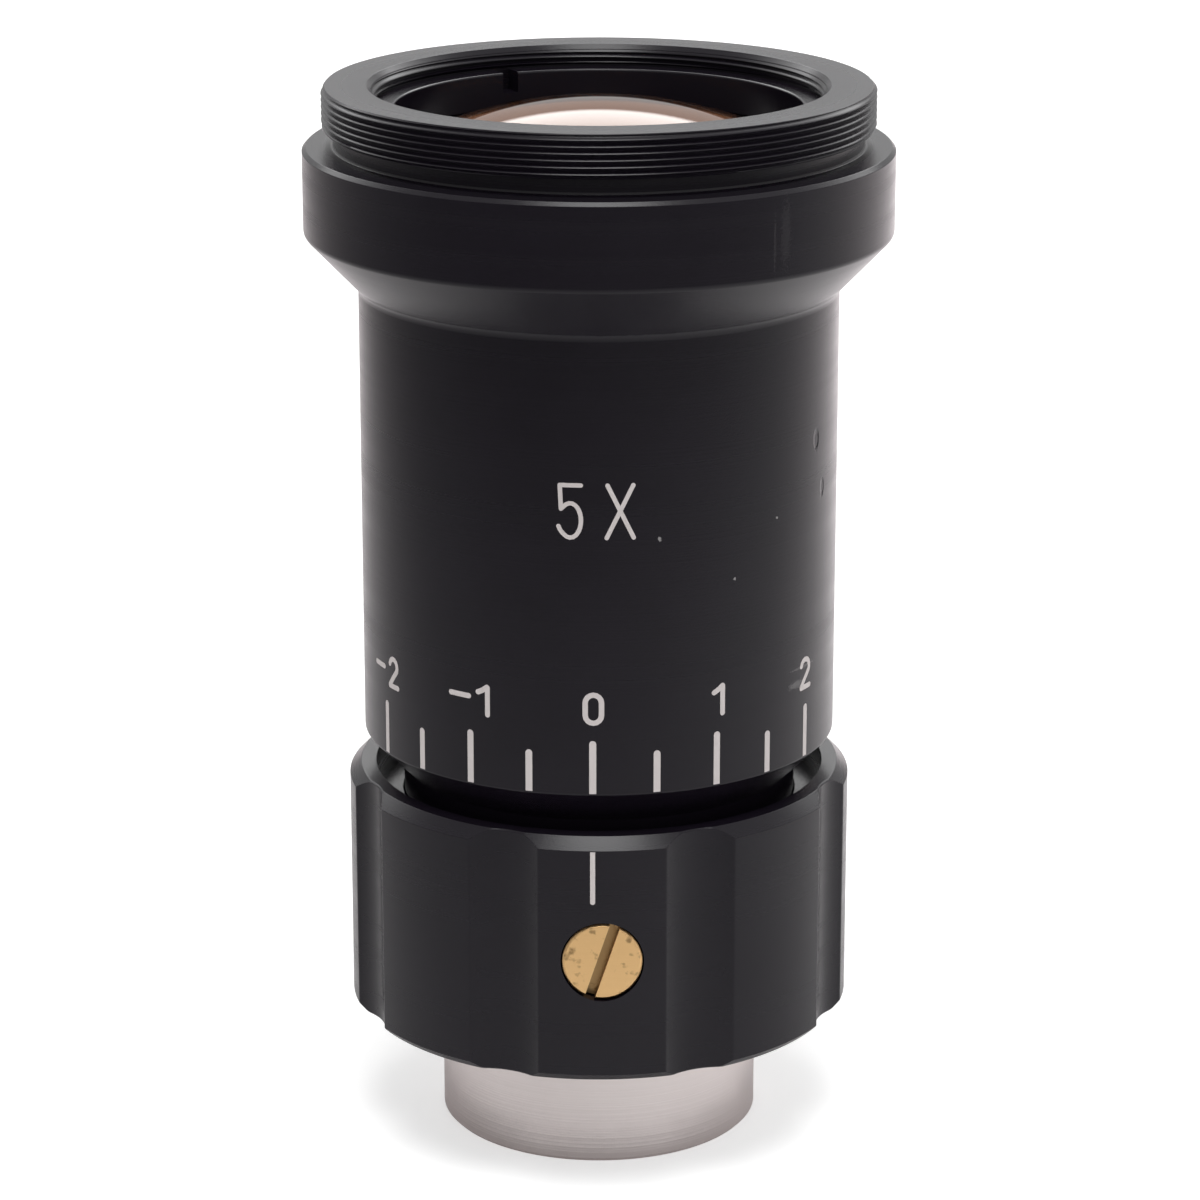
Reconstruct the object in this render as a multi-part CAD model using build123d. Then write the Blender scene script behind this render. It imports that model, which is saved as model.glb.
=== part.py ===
from build123d import *
import math
import os

os.makedirs("parts", exist_ok=True)

# A beam expander stands on its input tube with the output lens up. All sizes are in millimetres and
# all angles in degrees. The optical axis is +Z, and the origin is the centre of the tube's lower face.
# The front, with the index line and the brass screw, is -Y. Everything is drawn with the scale at 0.

# Clearances
running_clearance = 0.08    # radial, between two turned pieces that move in each other
thread_gap = 0.03           # radial, where a thread is drawn as a plain cylinder
seat_gap = 0.02             # between pieces that are clamped together
axial_play = 0.05           # on each side of the tube's flange, inside the focus ring

# Input tube: the spigot below the ring, the flange inside it and the guide sleeve above
spigot_radius = 12.5
spigot_length = 9.8
spigot_wall = 2.5
spigot_edge = 0.3
journal_relief = 0.4        # how much the tube is turned down inside the ring
journal_gap = 0.4           # from the end of the full spigot up to the ring's lower face
flange_catch = 1.3          # how far the tube's flange reaches past the ring's bore
tube_flange_thickness = 1.5
guide_step = 0.9            # how much wider the guide sleeve is than the spigot
guide_length = 20.2
guide_bore_radius = 7.0
guide_bore_length = 3.45    # from the input cell's shoulder to the start of the conical mouth
guide_mouth_wall = 3.4
guide_mouth_depth = 5.0

# Focus ring
ring_wall = 4.19
ring_height = 19.6
ring_top_chamfer = 0.9
ring_bottom_chamfer = 0.6
flute_count = 8
flute_depth = 0.98
flute_cutter_radius = 5.5
ring_skirt_gap = 0.3        # radial, between the tube's flange and the ring's lower recess
recess_clearance = 0.25     # between the ring's upper recess and the barrel's cone at full travel
recess_floor_gap = 0.4
nut_thickness = 1.2
nut_spigot_gap = 0.3
nut_hole_radius = 0.8
nut_hole_depth = 0.8
washer_thickness = 0.3
washer_inset = 0.15

# Drive: a dowel through the neck, in a helical groove of the ring and a straight one of the tube
turn_each_way = 60.0
groove_lead = 12.0          # axial travel for one whole turn of the ring
pin_radius = 2.0
pin_in_ring = 1.7
pin_in_tube = 1.45
pin_edge = 0.2
groove_side_gap = 0.05
groove_floor_gap = 0.2

# Barrel
neck_wall = 1.9
neck_end_gap = 0.45         # left below the neck at full travel down
neck_edge = 0.3
scale_gap = 3.1             # between the ring's top face and the barrel's lower edge, at 0
shoulder_step = 3.02        # how far the barrel stands out from its neck
barrel_wall = 2.5
barrel_edge = 0.25
bore_step_rise = 2.0        # the bore opens out this far above the barrel's lower edge
glare_groove_pitch = 4.0
glare_groove_depth = 0.6
glare_groove_start = 9.0    # above the barrel's lower edge
glare_groove_end = 6.0      # kept free below the output lens
cone_height = 4.3
cone_fillet = 0.8
flange_step = 4.1
flange_height = 6.5
flange_edge = 0.3
flange_round = 0.5
relief_depth = 0.9
relief_height = 1.3
relief_fillet = 0.25
lip_wall = 3.8
lip_height = 3.3
lip_edge = 0.25
lip_inner_edge = 0.35

# Output lens and what holds it
output_lens_curve = 34.0
output_lens_thickness = 7.0
output_lens_setback = 1.3   # from the lip's top face down to the lens's crown
lens_ledge = 1.1
retainer_step = 0.2         # how much wider the retainer's thread is than the lens
retainer_overlap = 1.55
retainer_thickness = 2.81
notch_width = 1.3
notch_depth = 1.6
notch_turn = -154.0         # seen from above, counted from the front, positive to the right
o_ring_section = 0.5

# Input lens and its cell
lens_spacing = 60.0         # from the output lens's crown to the hollow of the input lens, at 0
input_lens_radius = 5.0
input_lens_curve = 6.75
input_lens_thickness = 1.5
input_lens_aperture = 4.0
cell_wall = 3.0
cell_length = 6.6
cell_lip = 1.4
cell_thread_step = 0.5
cell_window_radius = 4.2
cell_cone_radius = 6.0
cell_retainer_thickness = 1.4
cell_lock_thickness = 1.6
cell_lock_bore_radius = 5.8
cell_slot_width = 1.2
cell_slot_depth = 0.7
thread_run = 4.0            # bare thread in the tube below the cell's lock ring

# Lock screw
screw_radius = 3.05
screw_hole_gap = 0.1
screw_inset = 0.1           # the face lies this far inside the ring's largest radius
screw_edge = 0.2
screw_slot_width = 0.8
screw_slot_depth = 1.0
screw_slot_turn = 18.5      # top of the slot leans to the right, seen from the front
pad_shrink = 0.15
pad_thickness = 1.0
pad_gap = 0.1

# Radii that follow from the sizes above
entry_radius = spigot_radius - spigot_wall
journal_radius = spigot_radius - journal_relief
guide_radius = spigot_radius + guide_step
guide_mouth_radius = guide_radius - guide_mouth_wall
neck_bore_radius = guide_radius + running_clearance
neck_radius = neck_bore_radius + neck_wall
ring_bore_radius = neck_radius + running_clearance
ring_radius = ring_bore_radius + ring_wall
tube_flange_radius = ring_bore_radius + flange_catch
ring_skirt_radius = tube_flange_radius + ring_skirt_gap
barrel_radius = neck_radius + shoulder_step
barrel_bore_radius = barrel_radius - barrel_wall
output_lens_radius = barrel_bore_radius + lens_ledge
flange_radius = barrel_radius + flange_step
retainer_radius = output_lens_radius + retainer_step
lip_radius = retainer_radius + lip_wall
relief_radius = lip_radius - relief_depth
cell_radius = input_lens_radius + cell_wall
cell_retainer_radius = input_lens_radius + cell_thread_step
travel = groove_lead * turn_each_way / 360

# Heights that follow, from the bench up
ring_bottom = spigot_length
nut_top = ring_bottom + nut_thickness
lower_washer_top = nut_top + washer_thickness
tube_flange_bottom = lower_washer_top + axial_play
tube_flange_top = tube_flange_bottom + tube_flange_thickness
upper_washer_bottom = tube_flange_top + axial_play
ring_step = upper_washer_bottom + washer_thickness
ring_top = ring_bottom + ring_height
guide_top = tube_flange_top + guide_length
neck_bottom = tube_flange_top + travel + neck_end_gap
barrel_bottom = ring_top + scale_gap
recess_radius = barrel_radius - (scale_gap - travel) + recess_clearance
recess_floor = ring_top - (shoulder_step - (scale_gap - travel)) - recess_floor_gap
pin_height = (ring_step + recess_floor) / 2
screw_height = ring_bottom + ring_height / 2
bore_step = barrel_bottom + bore_step_rise
cell_top = guide_top - guide_mouth_depth - guide_bore_length
input_seat = cell_top - cell_lip
input_hollow = input_seat - input_lens_thickness
output_crown = input_hollow + lens_spacing
output_seat = output_crown - output_lens_thickness
overall_height = output_crown + output_lens_setback
relief_top = overall_height - lip_height
flange_top = relief_top - relief_height
flange_bottom = flange_top - flange_height
cone_bottom = flange_bottom - cone_height
cell_bottom = cell_top - cell_length
cell_lock_bottom = cell_bottom - cell_lock_thickness
entry_depth = cell_lock_bottom - thread_run

tool_margin = 1.0           # how far a cutting body runs past what it cuts


def turned(*corners):
    """A turned piece: corners of its half section as (radius, height) or (radius, height, fillet)."""
    points = [corner[:2] for corner in corners]
    fillets = [corner[2] if len(corner) == 3 else 0 for corner in corners]
    outline = FilletPolyline(*points, radius=fillets, close=True)
    return revolve(Plane.XZ * make_face(outline), Axis.Z)


def ring_blank(inner_radius, outer_radius, bottom, top):
    """A plain washer between two heights."""
    return turned((inner_radius, bottom), (outer_radius, bottom), (outer_radius, top), (inner_radius, top))


def upright(radius, bottom, top, x=0.0, y=0.0):
    """A cylinder along Z between two heights."""
    return Pos(x, y, (bottom + top) / 2) * Cylinder(radius, top - bottom)


def radial(radius, inner, outer, angle, height):
    """A cylinder that lies along a radius, from one distance off the axis to another."""
    lying = Rot(0, 90, 0) * Cylinder(radius, outer - inner)
    return Rot(0, 0, angle) * Pos((inner + outer) / 2, 0, height) * lying


def slotted(blank, width, depth, radius, face, turn=0.0, into=-1):
    """Cuts a spanner slot right across a face. The slot goes down into it, or up where into is 1."""
    cutter = Box(2 * (radius + tool_margin), width, depth + tool_margin)
    offset = into * (depth - tool_margin) / 2
    return blank - Rot(0, 0, turn) * Pos(0, 0, face + offset) * cutter


def crown_height(radius):
    """Height of the output lens's convex face at a distance from the axis."""
    return output_crown - output_lens_curve + math.sqrt(output_lens_curve**2 - radius**2)


def make_input_tube():
    """One turned bar: spigot, flange and guide sleeve, with the straight groove for the dowel."""
    tube = turned(
        (entry_radius, spigot_edge),
        (entry_radius + spigot_edge, 0),
        (spigot_radius - spigot_edge, 0),
        (spigot_radius, spigot_edge),
        (spigot_radius, ring_bottom - journal_gap),
        (journal_radius, ring_bottom - journal_gap),
        (journal_radius, tube_flange_bottom),
        (tube_flange_radius, tube_flange_bottom),
        (tube_flange_radius, tube_flange_top),
        (guide_radius, tube_flange_top),
        (guide_radius, guide_top - neck_edge),
        (guide_radius - neck_edge, guide_top),
        (guide_mouth_radius, guide_top),
        (guide_bore_radius, guide_top - guide_mouth_depth),
        (guide_bore_radius, cell_top),
        (cell_radius + thread_gap, cell_top),
        (cell_radius + thread_gap, entry_depth),
        (entry_radius, entry_depth),
    )
    half_width = pin_radius + groove_side_gap
    floor = guide_radius + running_clearance / 2 - pin_in_tube - groove_floor_gap
    low_end = pin_height - travel
    depth = guide_radius + tool_margin - floor
    run = guide_top + tool_margin - low_end
    groove = Pos(0, floor + depth / 2, low_end + run / 2) * Box(2 * half_width, depth, run)
    groove += radial(half_width, floor, floor + depth, 90, low_end)
    return tube - groove


def make_barrel():
    """One turned bar from the threaded lip down to the neck inside the ring."""
    barrel = turned(
        (neck_bore_radius, neck_bottom),
        (neck_radius - neck_edge, neck_bottom),
        (neck_radius, neck_bottom + neck_edge),
        (neck_radius, barrel_bottom - shoulder_step),
        (barrel_radius, barrel_bottom, barrel_edge),
        (barrel_radius, cone_bottom, cone_fillet),
        (flange_radius, flange_bottom, flange_round),
        (flange_radius, flange_top - flange_edge),
        (flange_radius - flange_edge, flange_top),
        (relief_radius, flange_top, relief_fillet),
        (relief_radius, relief_top),
        (lip_radius, relief_top),
        (lip_radius, overall_height - lip_edge),
        (lip_radius - lip_edge, overall_height),
        (retainer_radius + lip_inner_edge, overall_height),
        (retainer_radius, overall_height - lip_inner_edge),
        (retainer_radius, crown_height(output_lens_radius)),
        (output_lens_radius + seat_gap, crown_height(output_lens_radius)),
        (output_lens_radius + seat_gap, output_seat),
        (barrel_bore_radius, output_seat),
        (barrel_bore_radius, bore_step + barrel_bore_radius - neck_bore_radius),
        (neck_bore_radius, bore_step),
    )
    height = barrel_bottom + glare_groove_start
    while height < output_seat - glare_groove_end:
        barrel -= turned(
            (barrel_bore_radius - tool_margin, height),
            (barrel_bore_radius + glare_groove_depth, height),
            (barrel_bore_radius, height + glare_groove_depth),
            (barrel_bore_radius - tool_margin, height + glare_groove_depth),
        )
        height += glare_groove_pitch
    inner = neck_bore_radius - tool_margin
    outer = neck_radius + tool_margin
    return barrel - radial(pin_radius + seat_gap, inner, outer, 90, pin_height)


def make_output_lens():
    """Plano-convex lens: a disc cut by a sphere."""
    disc = upright(output_lens_radius, output_seat, output_crown + tool_margin)
    return disc & Pos(0, 0, output_crown - output_lens_curve) * Sphere(output_lens_curve)


def o_ring_place():
    """Where the cushion's section touches both the lens's convex face and the wall round the lens."""
    centre_radius = output_lens_radius - o_ring_section
    reach = output_lens_curve + o_ring_section + seat_gap
    centre_height = output_crown - output_lens_curve + math.sqrt(reach**2 - centre_radius**2)
    return centre_radius, centre_height


def make_output_o_ring():
    centre_radius, centre_height = o_ring_place()
    return Pos(0, 0, centre_height) * Torus(centre_radius, o_ring_section)


def make_output_retaining_ring():
    """Threaded ring that holds the output lens, with a spanner notch on each side."""
    bottom = o_ring_place()[1] + o_ring_section + seat_gap
    top = bottom + retainer_thickness
    inner = output_lens_radius - retainer_overlap
    ring = ring_blank(inner, retainer_radius - thread_gap, bottom, top)
    return slotted(ring, notch_width, notch_depth, retainer_radius, top, notch_turn - 90)


def make_drive_pin():
    """Steel dowel through the neck wall, with a chamfer at each end."""
    inner = neck_bore_radius - pin_in_tube
    outer = ring_bore_radius + pin_in_ring
    pin = radial(pin_radius, inner, outer, 90, pin_height)
    return chamfer(pin.edges().filter_by(GeomType.CIRCLE), pin_edge)


def helical_groove_cutters():
    """Cutters for the ring's groove: a rectangle swept along a helix, and a round end at each limit."""
    half_width = pin_radius + groove_side_gap
    inner = ring_bore_radius - tool_margin
    outer = ring_bore_radius + pin_in_ring + groove_floor_gap
    path = Helix(groove_lead, 2 * travel, (inner + outer) / 2, lefthand=True)
    start = Plane(origin=path @ 0, x_dir=(1, 0, 0), z_dir=path % 0)
    groove = sweep(start * Rectangle(outer - inner, 2 * half_width), path, is_frenet=True)
    cutters = [Pos(0, 0, pin_height - travel) * Rot(0, 0, 90 + turn_each_way) * groove]
    for side in (-1, 1):
        angle = 90 - side * turn_each_way
        cutters.append(radial(half_width, inner, outer, angle, pin_height + side * travel))
    return cutters


def make_focus_ring():
    """Fluted ring: a bore that turns on the neck, a recess at each end and the helical groove."""
    ring = turned(
        (ring_bore_radius, ring_step),
        (ring_skirt_radius, ring_step),
        (ring_skirt_radius, ring_bottom),
        (ring_radius - ring_bottom_chamfer, ring_bottom),
        (ring_radius, ring_bottom + ring_bottom_chamfer),
        (ring_radius, ring_top - ring_top_chamfer),
        (ring_radius - ring_top_chamfer, ring_top),
        (recess_radius, ring_top),
        (recess_radius, recess_floor),
        (ring_bore_radius, recess_floor),
    )
    cutter_distance = ring_radius - flute_depth + flute_cutter_radius
    cutter_bottom = ring_bottom - tool_margin
    flute = upright(flute_cutter_radius, cutter_bottom, ring_top + tool_margin, x=cutter_distance)
    for index in range(flute_count):
        ring -= Rot(0, 0, -90 + (index + 0.5) * 360 / flute_count) * flute
    for cutter in helical_groove_cutters():
        ring -= cutter
    inner = ring_bore_radius - tool_margin
    outer = ring_radius + tool_margin
    return ring - radial(screw_radius + screw_hole_gap, inner, outer, -90, screw_height)


def make_ring_nut():
    """Threaded ring in the underside of the focus ring, with two holes for a pin spanner."""
    nut = ring_blank(spigot_radius + nut_spigot_gap, ring_skirt_radius - thread_gap, ring_bottom, nut_top)
    hole_distance = (spigot_radius + nut_spigot_gap + ring_skirt_radius) / 2
    hole_bottom = ring_bottom - tool_margin
    hole_top = ring_bottom + nut_hole_depth
    for side in (-1, 1):
        nut -= upright(nut_hole_radius, hole_bottom, hole_top, x=side * hole_distance)
    return nut


def make_slip_washer_lower():
    inner = spigot_radius + nut_spigot_gap + washer_inset
    return ring_blank(inner, ring_skirt_radius - washer_inset, nut_top, lower_washer_top)


def make_slip_washer_upper():
    inner = ring_bore_radius + washer_inset
    return ring_blank(inner, ring_skirt_radius - washer_inset, upper_washer_bottom, ring_step)


def make_input_cell():
    """Cell that screws up into the tube, with a seat for the lens and a wider thread below it."""
    rim = input_lens_rim()
    cell = turned(
        (cell_retainer_radius, cell_bottom),
        (cell_radius, cell_bottom),
        (cell_radius, cell_top),
        (cell_cone_radius, cell_top),
        (cell_window_radius, input_seat),
        (input_lens_radius + seat_gap, input_seat),
        (input_lens_radius + seat_gap, rim),
        (cell_retainer_radius, rim),
    )
    return slotted(cell, cell_slot_width, cell_slot_depth, cell_radius, cell_bottom, into=1)


def input_lens_rim():
    """Height of the flat rim round the hollow of the input lens."""
    centre = input_hollow - input_lens_curve
    return centre + math.sqrt(input_lens_curve**2 - input_lens_aperture**2)


def make_input_lens():
    """Plano-concave lens: a disc with a spherical hollow in its lower face."""
    disc = upright(input_lens_radius, input_lens_rim(), input_seat)
    return disc - Pos(0, 0, input_hollow - input_lens_curve) * Sphere(input_lens_curve)


def make_input_retaining_ring():
    top = input_lens_rim() - seat_gap
    bottom = top - cell_retainer_thickness
    ring = ring_blank(input_lens_aperture, cell_retainer_radius - thread_gap, bottom, top)
    return slotted(ring, cell_slot_width, cell_slot_depth, cell_radius, bottom, turn=90, into=1)


def make_cell_lock_ring():
    top = cell_bottom - seat_gap
    ring = ring_blank(cell_lock_bore_radius, cell_radius, cell_lock_bottom, top)
    return slotted(ring, cell_slot_width, cell_slot_depth, cell_radius, cell_lock_bottom, turn=45, into=1)


def make_lock_screw():
    """Headless slotted screw, its face just under the ring's largest radius."""
    face = ring_radius - screw_inset
    tip = neck_radius + pad_gap + pad_thickness + seat_gap
    screw = Cylinder(screw_radius, face - tip)
    screw = chamfer(screw.edges().filter_by(GeomType.CIRCLE), screw_edge)
    half_length = (face - tip) / 2
    slot = Box(screw_slot_width, 2 * screw_radius + tool_margin, screw_slot_depth)
    screw -= Rot(0, 0, -screw_slot_turn) * Pos(0, 0, half_length - screw_slot_depth / 2) * slot
    return Pos(0, -(face + tip) / 2, screw_height) * Rot(90, 0, 0) * screw


def make_lock_pad():
    inner = neck_radius + pad_gap
    return radial(screw_radius - pad_shrink, inner, inner + pad_thickness, -90, screw_height)


pieces = {
    "input_tube": make_input_tube(),
    "input_cell": make_input_cell(),
    "input_lens": make_input_lens(),
    "input_retaining_ring": make_input_retaining_ring(),
    "cell_lock_ring": make_cell_lock_ring(),
    "barrel": make_barrel(),
    "output_lens": make_output_lens(),
    "output_o_ring": make_output_o_ring(),
    "output_retaining_ring": make_output_retaining_ring(),
    "drive_pin": make_drive_pin(),
    "focus_ring": make_focus_ring(),
    "ring_nut": make_ring_nut(),
    "slip_washer_lower": make_slip_washer_lower(),
    "slip_washer_upper": make_slip_washer_upper(),
    "lock_screw": make_lock_screw(),
    "lock_pad": make_lock_pad(),
}

for name, piece in pieces.items():
    export_step(piece, f"parts/{name}.step")
    print(name, round(piece.volume, 1))
print("overall height", round(overall_height, 2), "travel each way", round(travel, 2))
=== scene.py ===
import math

import bmesh
import bpy
import numpy as np
from mathutils import Matrix, Vector


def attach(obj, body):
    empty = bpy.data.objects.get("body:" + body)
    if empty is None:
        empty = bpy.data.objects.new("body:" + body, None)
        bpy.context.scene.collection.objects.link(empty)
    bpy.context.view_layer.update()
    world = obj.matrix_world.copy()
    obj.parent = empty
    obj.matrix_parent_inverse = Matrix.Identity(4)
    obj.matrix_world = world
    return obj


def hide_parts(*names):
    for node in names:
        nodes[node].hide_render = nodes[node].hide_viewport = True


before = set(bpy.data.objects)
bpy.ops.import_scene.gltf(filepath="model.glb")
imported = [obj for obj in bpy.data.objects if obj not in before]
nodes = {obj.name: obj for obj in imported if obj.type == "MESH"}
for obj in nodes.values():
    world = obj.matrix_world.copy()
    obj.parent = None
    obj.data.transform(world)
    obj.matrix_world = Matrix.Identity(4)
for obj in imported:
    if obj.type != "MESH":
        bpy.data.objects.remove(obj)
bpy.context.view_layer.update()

# Lengths are in millimetres and angles in degrees. Meshes are written in metres.
# The optical axis is Z, the front with the index line and the brass screw is -Y.
mm = 0.001
fullTurn = 2 * math.pi


# Camera

cameraValues = {
    "place": (-4.21, -321.87, 140.05),
    "tilt": 73.091,          # from straight down
    "turn": -0.75,
    "lens": 129.03,
    "sensor": 36.0,
    "shift": 0.00083,
}


def makeCamera(values):
    data = bpy.data.cameras.new("camera")
    data.lens = values["lens"]
    data.sensor_width = values["sensor"]
    data.shift_x = values["shift"]
    data.clip_start = 10 * mm
    data.clip_end = 20000 * mm
    camera = bpy.data.objects.new("camera", data)
    camera.location = [place * mm for place in values["place"]]
    camera.rotation_euler = (math.radians(values["tilt"]), 0, math.radians(values["turn"]))
    bpy.context.scene.collection.objects.link(camera)
    bpy.context.scene.camera = camera


makeCamera(cameraValues)
print("camera ready")


# Surfaces

sharpAngle = 32.0        # edges that turn by more than this stay sharp
mergeDistance = 1e-7     # metres
guardGap = 0.02          # a point this far beside a rounding keeps the flat beside it flat


def filletRows(corners, count, closed=True):
    # Each corner is (radius, height, rounding), where radius and height may change with the column.
    # A rounded corner becomes an arc that touches both sides: its centre lies on the bisector, at
    # rounding / cos(half the turn), and its points swing evenly from one side's normal to the other's.
    points = np.stack([np.stack([np.broadcast_to(np.asarray(value, float), count) for value in corner[:2]], -1)
                       for corner in corners])
    back = np.roll(points, 1, 0) - points
    ahead = np.roll(points, -1, 0) - points
    back /= np.maximum(np.linalg.norm(back, axis=-1, keepdims=True), 1e-9)
    ahead /= np.maximum(np.linalg.norm(ahead, axis=-1, keepdims=True), 1e-9)
    rows = []
    for index, corner in enumerate(corners):
        here = points[index]
        rounding = corner[2] if len(corner) > 2 else 0
        atEnd = not closed and index in (0, len(corners) - 1)
        if rounding == 0 or atEnd:
            rows.append(here[None])
            continue
        cosine = np.clip((back[index] * ahead[index]).sum(-1, keepdims=True), -1, 1)
        turn = math.pi - np.arccos(cosine)
        reach = rounding * np.tan(turn / 2)
        middle = back[index] + ahead[index]
        middle /= np.linalg.norm(middle, axis=-1, keepdims=True)
        centre = here + middle * rounding / np.cos(turn / 2)
        start = here + back[index] * reach - centre
        end = here + ahead[index] * reach - centre
        pieces = max(2, math.ceil(math.degrees(turn.max()) / 16))
        swing = np.linspace(0, 1, pieces + 1)[:, None, None]
        arc = centre + (np.sin((1 - swing) * turn) * start + np.sin(swing * turn) * end) / np.sin(turn)
        rows.append((here + back[index] * (reach + guardGap))[None])
        rows.append(arc)
        rows.append((here + ahead[index] * (reach + guardGap))[None])
    return np.concatenate(rows)


def aroundAxis(rows, angles):
    # A point (radius, height) of a row goes to (radius cos(angle), radius sin(angle), height).
    radius, height = rows[..., 0], rows[..., 1]
    return np.stack([radius * np.cos(angles), radius * np.sin(angles), height], -1)


def gridFaces(rowCount, columnCount, wrapRows=True, wrapColumns=True):
    # Four neighbours of the grid make a face, and a wrapped side joins its last line to its first.
    rowIndex = np.arange(rowCount if wrapRows else rowCount - 1)
    columnIndex = np.arange(columnCount if wrapColumns else columnCount - 1)
    row, column = np.meshgrid(rowIndex, columnIndex, indexing="ij")
    nextRow, nextColumn = (row + 1) % rowCount, (column + 1) % columnCount
    faces = [row * columnCount + column, row * columnCount + nextColumn,
             nextRow * columnCount + nextColumn, nextRow * columnCount + column]
    return np.stack(faces, -1).reshape(-1, 4)


def makePiece(name, points, faces, tidy=True):
    mesh = bpy.data.meshes.new(name)
    mesh.from_pydata((points.reshape(-1, 3) * mm).tolist(), [], faces.tolist())
    piece = bpy.data.objects.new(name, mesh)
    bpy.context.scene.collection.objects.link(piece)
    if tidy:
        closeMesh(piece)
    return piece


def closeMesh(piece):
    # Merges what meets, turns the faces outwards and keeps the sharp edges sharp.
    work = bmesh.new()
    work.from_mesh(piece.data)
    bmesh.ops.remove_doubles(work, verts=work.verts, dist=mergeDistance)
    bmesh.ops.dissolve_degenerate(work, edges=work.edges, dist=mergeDistance)
    bmesh.ops.recalc_face_normals(work, faces=work.faces)
    work.to_mesh(piece.data)
    work.free()
    piece.data.shade_smooth()
    piece.data.set_sharp_from_angle(angle=math.radians(sharpAngle))


def turnedPiece(name, corners, columns, closed=True):
    # A profile carried once round the axis.
    rows = filletRows(corners, 1, closed)
    angles = np.arange(columns) / columns * fullTurn
    points = aroundAxis(np.repeat(rows, columns, 1), angles)
    return makePiece(name, points, gridFaces(len(rows), columns, wrapRows=closed))


def cutter(points, faces):
    return makePiece("cutter", points, faces)


def barCutter(radius, start, end, columns=48):
    # A closed round bar between two points: a circle across the bar, carried from end to end.
    start, end = np.array(start, float), np.array(end, float)
    along = (end - start) / np.linalg.norm(end - start)
    side = np.cross(along, (0, 0, 1.0)) if abs(along[2]) < 0.9 else np.array([1.0, 0, 0])
    side /= np.linalg.norm(side)
    other = np.cross(along, side)
    angle = np.arange(columns) / columns * fullTurn
    circle = np.cos(angle)[:, None] * side + np.sin(angle)[:, None] * other
    reach = np.array([0, radius, radius, 0])
    place = np.array([0, 0, 1, 1])
    points = (start + place[:, None, None] * (end - start) + reach[:, None, None] * circle)
    return cutter(points, gridFaces(4, columns, wrapRows=False))


def boxCutter(size, turn=0.0, centre=(0, 0, 0), tilt=None):
    # A block with its corners at half its size each way, turned about Z and moved to its centre.
    signs = np.array([(x, y, z) for z in (-1, 1) for x, y in ((-1, -1), (1, -1), (1, 1), (-1, 1))])
    points = signs * np.array(size) / 2
    if tilt is not None:
        points = points @ np.array(Matrix.Rotation(math.radians(tilt[0]), 3, tilt[1])).T
    points = points @ np.array(Matrix.Rotation(math.radians(turn), 3, "Z")).T + np.array(centre)
    faces = np.array([(0, 3, 2, 1), (4, 5, 6, 7), (0, 1, 5, 4), (1, 2, 6, 5), (2, 3, 7, 6), (3, 0, 4, 7)])
    return cutter(points, faces)


def cutAway(piece, *cutters):
    for tool in cutters:
        step = piece.modifiers.new("cut", "BOOLEAN")
        step.operation = "DIFFERENCE"
        step.solver = "EXACT"
        step.object = tool
        bpy.context.view_layer.update()
        evaluated = piece.evaluated_get(bpy.context.evaluated_depsgraph_get())
        mesh = bpy.data.meshes.new_from_object(evaluated)
        piece.modifiers.clear()
        piece.data = mesh
        mesh.name = piece.name
        bpy.data.objects.remove(tool)
    closeMesh(piece)
    return piece


def place(piece, body, node, slotName, material):
    # Puts a finished piece on its body, in the place of the plain one.
    piece.data.materials.clear()
    piece.data.materials.append(material)
    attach(piece, body)
    if node:
        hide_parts(node)
    return piece


# Shared effects

def newGroup(name, inputs, outputs):
    group = bpy.data.node_groups.new(name, "ShaderNodeTree")
    for label, kind, value in inputs:
        socket = group.interface.new_socket(name=label, in_out="INPUT", socket_type="NodeSocket" + kind)
        socket.default_value = value
    for label, kind in outputs:
        group.interface.new_socket(name=label, in_out="OUTPUT", socket_type="NodeSocket" + kind)
    return group, group.nodes.new("NodeGroupInput"), group.nodes.new("NodeGroupOutput")


def addNode(tree, kind, values=None, **settings):
    # Values are numbers for the sockets, or other sockets that are linked to them.
    node = tree.nodes.new("ShaderNode" + kind)
    for key, value in settings.items():
        setattr(node, key, value)
    for key, value in (values or {}).items():
        if isinstance(value, bpy.types.NodeSocket):
            tree.links.new(value, node.inputs[key])
        else:
            node.inputs[key].default_value = value
    return node


def maths(tree, operation, first, second=0.0, clamp=False):
    return addNode(tree, "Math", {0: first, 1: second}, operation=operation, use_clamp=clamp).outputs[0]


def makeTurningMarks():
    # Fine circles round the axis: noise read at (distance from the axis, height) only.
    group, given, result = newGroup(
        "turningMarks",
        [("Fineness", "Float", 9000.0), ("Waviness", "Float", 0.3)],
        [("Height", "Float"), ("Mask", "Float")],
    )
    where = addNode(group, "TexCoord").outputs["Object"]
    split = addNode(group, "SeparateXYZ", {0: where})
    flat = addNode(group, "CombineXYZ", {"X": split.outputs["X"], "Y": split.outputs["Y"]})
    distance = addNode(group, "VectorMath", {0: flat.outputs[0]}, operation="LENGTH").outputs["Value"]
    drift = addNode(group, "TexNoise", {"Vector": where, "Scale": 60.0, "Detail": 1.0}).outputs["Fac"]
    shift = maths(group, "MULTIPLY", maths(group, "MULTIPLY", drift, given.outputs["Waviness"]), 0.0004)
    radial = maths(group, "ADD", distance, shift)
    upright = maths(group, "ADD", split.outputs["Z"], shift)
    ringPlace = addNode(group, "CombineXYZ", {"X": radial, "Y": upright})
    lines = addNode(group, "TexNoise", {
        "Vector": ringPlace.outputs[0], "Scale": given.outputs["Fineness"], "Detail": 2.0})
    broad = maths(group, "MULTIPLY", given.outputs["Fineness"], 0.07)
    bands = addNode(group, "TexNoise", {"Vector": ringPlace.outputs[0], "Scale": broad, "Detail": 2.0})
    group.links.new(lines.outputs["Fac"], result.inputs["Height"])
    group.links.new(bands.outputs["Fac"], result.inputs["Mask"])
    return group


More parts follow.
